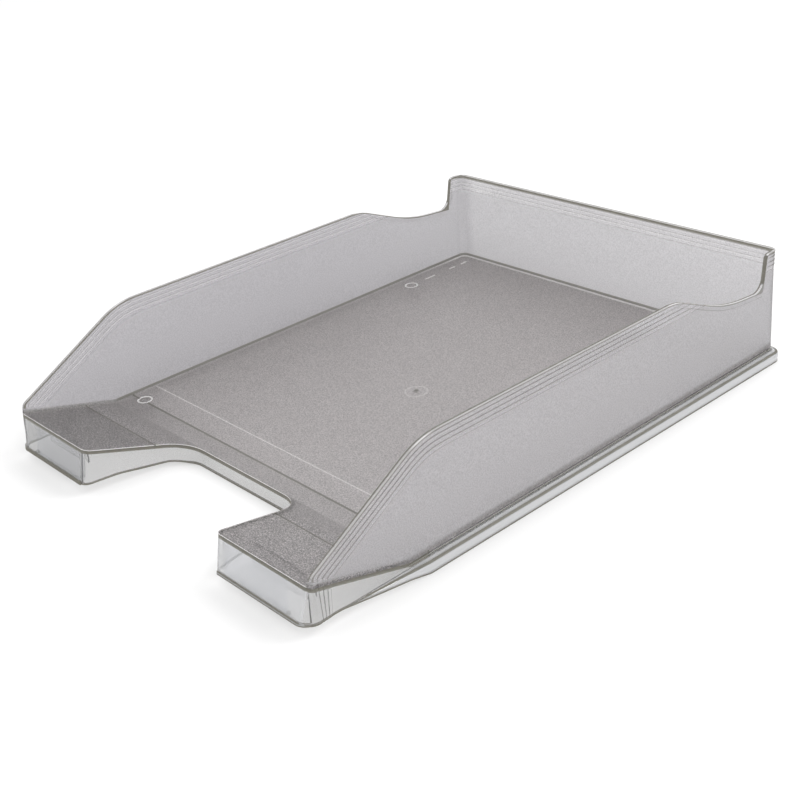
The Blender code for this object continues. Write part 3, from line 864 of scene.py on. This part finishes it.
def smoke_plastic():
    """Smoke-tinted polystyrene: spark-eroded grain above the floor line, polished below the ramps and on the skirt.
    Painted shade and painted highlight lines, and walls and zones painted darker or lighter for how light falls, are
    mixed into its colours.
    """
    tree = Tree("smoke_plastic")
    place = tree.node("NewGeometry").outputs["Position"]
    scaled = tree.node("VectorMath", {"operation": "SCALE"}, Vector=place)
    scaled.inputs["Scale"].default_value = 1000
    place_mm = scaled.outputs[0]
    m = smoke_masks(tree, place_mm)
    grained, floor, pane = m["grained"], m["floor"], m["pane"]
    dark, light = floor_marks(tree, m)
    tone = tree.grey(floor_tone(tree, m))
    left_wall = tree.ramp(m["x"], -116, -110, 1.0, 0.0)
    frost = tree.product(grained, tree.ramp(m["banded"], 0.0, 1.0, 1.0, 0.2))

    # how rough the surface is, and its grain
    fine = tree.noise(place_mm, 1.6, 2.0, 0.6)
    cloud = tree.ramp(tree.noise(place_mm, 0.06, 3.0), 0.3, 0.7, -0.02, 0.02)
    frosted = tree.product(frost, tree.ramp(floor, 0.0, 1.0, 0.32, 0.5))
    rough = tree.plus(frosted, tree.plus(cloud, 0.05))
    lugs = tree.product(floor, tree.ramp(m["depth"], -131, -114, 1.0, 0.0))
    spread = tree.plus(tree.ramp(floor, 0.0, 1.0, 0.6, 1.3), tree.ramp(lugs, 0.0, 1.0, 0.0, 2.2))
    spread = tree.product(spread, tree.ramp(m["banded"], 0.0, 1.0, 1.0, 0.4))
    speck = tree.plus(tree.product(tree.ramp(fine, 0.34, 0.66, -0.5, 0.5), spread), 0.5)
    bump = tree.node("Bump", None, Height=fine)
    bump.inputs["Distance"].default_value = 0.00004
    tree.put(bump.inputs["Strength"], tree.product(frost, frost, 0.6))

    # where lines get painted shade or painted highlights
    band_shade = tree.product(
        m["band_dark"], tree.ramp(m["depth"], 164, 168, 0.4, 0.55), tree.ramp(m["below"], 0.5, 1.5, 0.65, 1.0)
    )
    shade = tree.most(
        band_shade,
        tree.product(m["edge_dark"], 0.8),
        tree.product(m["plate_dark"], 0.8),
        tree.product(dark, 0.55),
        tree.product(m["flange_dark"], 0.9),
    )
    glow = tree.most(tree.product(m["band_light"], 0.8), m["plate_light"], light, tree.product(m["rim_light"], 0.7))

    # the colour of what passes straight through; each wall's tint is painted for how light falls on it, darkest on the
    # left wall, lighter on the back wall and lightest on the right and front walls, and the floor and lugs carry the
    # painted shade of their tone
    wall_tint = tree.mix(left_wall, (0.835, 0.825, 0.84, 1), (0.645, 0.635, 0.655, 1))
    wall_tint = tree.mix(tree.ramp(m["depth"], 20, 168, 0.0, 1.0), wall_tint, (0.745, 0.74, 0.755, 1))
    tint = tree.mix(floor, wall_tint, tree.tinted(tone, (0.69, 0.655, 0.66, 1)))
    dim = tree.grey(tree.plus(tree.product(speck, 0.16), 0.84))
    tint = tree.mix(grained, (1, 1, 1, 1), tree.tinted(dim, tint))
    # painted shade: the painted shade lines darken what passes through towards near black
    tint = tree.mix(shade, tint, (0.10, 0.09, 0.07, 1))

    # how much is scattered instead, and its colour; painted highlights and painted shade lines raise the amount and
    # set the colour there
    amount = tree.most(
        tree.product(grained, tree.ramp(floor, 0.0, 1.0, 0.24, 0.28)),
        tree.ramp(m["flange"], 0.0, 1.0, 0.04, 0.3),
        tree.product(pane, 0.3),
        tree.product(glow, 0.75),
        tree.product(shade, 0.8),
    )
    specks = tree.grey(tree.most(tree.plus(tree.product(speck, 1.16), 0.42), 0.05))
    # painted shade: the left wall's scattered colour is darker
    wall_cloud = tree.mix(left_wall, (0.455, 0.445, 0.46, 1), (0.355, 0.345, 0.365, 1))
    cloudy = tree.mix(floor, wall_cloud, tree.tinted(tone, (0.355, 0.333, 0.337, 1)))
    # painted shade: the polished surfaces' scattered colour is dark on the left and light on the right
    polished = tree.mix(tree.ramp(m["x"], -60, 60, 0.0, 1.0), (0.16, 0.163, 0.17, 1), (0.47, 0.48, 0.50, 1))
    polished = tree.mix(pane, (0.50, 0.51, 0.53, 1), polished)
    cloudy = tree.mix(grained, polished, tree.tinted(specks, cloudy))
    # painted highlight colour
    cloudy = tree.mix(glow, cloudy, (0.74, 0.73, 0.73, 1))
    # painted shade colour
    cloudy = tree.mix(tree.least(tree.product(shade, 1.8), 1.0), cloudy, (0.13, 0.125, 0.105, 1))

    smoke = ((0.03, 0.015, 0.0), 135.0)  # colour and density of what the plastic absorbs inside
    return clear_plastic(tree, rough, tint, smoke, bump.outputs[0], (amount, cloudy))


def strip_plastic():
    """Thin clear film: almost all of the light crosses it unbent."""
    tree = Tree("strip_plastic")
    place = tree.node("TexCoord").outputs["Object"]
    rough = tree.ramp(tree.noise(place, 90.0), 0.3, 0.7, 0.03, 0.09)
    through = tree.node("BsdfTransparent", None, Color=(0.975, 0.98, 0.985, 1))
    gloss = tree.node("BsdfGlossy", None, Color=(0.9, 0.9, 0.95, 1), Roughness=rough)
    surface = tree.node("MixShader")
    weight = tree.product(tree.node("LayerWeight", None, Blend=0.3).outputs["Fresnel"], 0.25)
    for socket, value in zip(surface.inputs, (weight, through.outputs[0], gloss.outputs[0])):
        tree.put(socket, value)
    out = tree.node("OutputMaterial")
    tree.put(out.inputs["Surface"], surface.outputs[0])
    return tree.material


def stud_rubber():
    tree = Tree("stud_rubber")
    place = tree.node("TexCoord").outputs["Object"]
    grain = tree.noise(place, 1800.0)
    colour = tree.mix(tree.ramp(grain, 0.3, 0.7, 0.0, 1.0), (0.50, 0.49, 0.48, 1), (0.60, 0.59, 0.58, 1))
    bump = tree.node("Bump", None, Height=grain, Distance=0.0001, Strength=0.3)
    shader = tree.node("BsdfPrincipled", None, Base_Color=colour, Roughness=0.5, IOR=1.45, Transmission_Weight=0.6)
    tree.put(shader.inputs["Normal"], bump.outputs[0])
    out = tree.node("OutputMaterial")
    tree.put(out.inputs["Surface"], shader.outputs[0])
    return tree.material


def dress(made, material):
    made.data.materials.clear()
    made.data.materials.append(material)


# ---------------------------------------------------------------- camera and light


def camera():
    yaw, pitch, roll = (math.radians(a) for a in (49.70, 27.08, -5.30))
    back = Vector((math.sin(yaw) * math.cos(pitch), -math.cos(yaw) * math.cos(pitch), math.sin(pitch)))
    right = (-back).cross(Vector((0, 0, 1))).normalized()
    up = right.cross(-back)
    across = math.cos(roll) * right + math.sin(roll) * up
    upward = -math.sin(roll) * right + math.cos(roll) * up
    data = bpy.data.cameras.new("camera")
    data.lens = 1289.32 / 800 * 36
    data.sensor_width = 36
    data.clip_start, data.clip_end = 0.01, 50
    made = bpy.data.objects.new("camera", data)
    turn = Matrix((across, upward, back)).transposed().to_4x4()
    made.matrix_world = Matrix.Translation(Vector((483.97, -415.58, 330.01)) * MM) @ turn
    bpy.context.scene.collection.objects.link(made)
    bpy.context.scene.camera = made


def table():
    bm = bmesh.new()
    bmesh.ops.create_circle(bm, cap_ends=True, segments=96, radius=12)
    mesh = bpy.data.meshes.new("table")
    bm.to_mesh(mesh)
    bm.free()
    made = bpy.data.objects.new("table", mesh)
    bpy.context.scene.collection.objects.link(made)
    mat = bpy.data.materials.new("table")
    mat.use_nodes = True
    shader = mat.node_tree.nodes["Principled BSDF"]
    shader.inputs["Base Color"].default_value = (0.86, 0.86, 0.86, 1)
    shader.inputs["Roughness"].default_value = 0.9
    shader.inputs["Specular IOR Level"].default_value = 0.1
    mesh.materials.append(mat)


def area(name, place, target, size, watts, colour=(1, 1, 1)):
    data = bpy.data.lights.new(name, "AREA")
    data.shape = "RECTANGLE"
    data.size, data.size_y = size
    data.energy = watts
    data.color = colour
    made = bpy.data.objects.new(name, data)
    made.location = place
    made.rotation_euler = (Vector(target) - Vector(place)).to_track_quat("-Z", "Y").to_euler()
    made.visible_camera = False
    bpy.context.scene.collection.objects.link(made)


def world(strength):
    made = bpy.data.worlds.new("studio")
    made.use_nodes = True
    made.node_tree.nodes["Background"].inputs["Color"].default_value = (1, 1, 1, 1)
    made.node_tree.nodes["Background"].inputs["Strength"].default_value = strength
    bpy.context.scene.world = made


# ---------------------------------------------------------------- build


body = tray_solid()
body.name = "tray_moulding"
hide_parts("tray_body")
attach(body, "tray")
dress(body, smoke_plastic())
body.data.shade_smooth()
body.data.set_sharp_from_angle(angle=math.radians(32))
even = body.modifiers.new("even", "WEIGHTED_NORMAL")
even.keep_sharp = True
strip = strip_plastic()
stud = stud_rubber()
for name, node in frame["nodes"].items():
    if name.startswith("label_insert"):
        dress(node, strip)
    if name.startswith("foot_"):
        dress(node, stud)

camera()
table()
world(1.1)
area("key", (0.8, 1.1, 1.2), (0, 0, 0), (0.9, 0.9), 11)
area("fill", (1.5, -0.5, 0.7), (0, 0, 0), (1.0, 1.0), 7)
bpy.context.scene.view_settings.view_transform = "Standard"
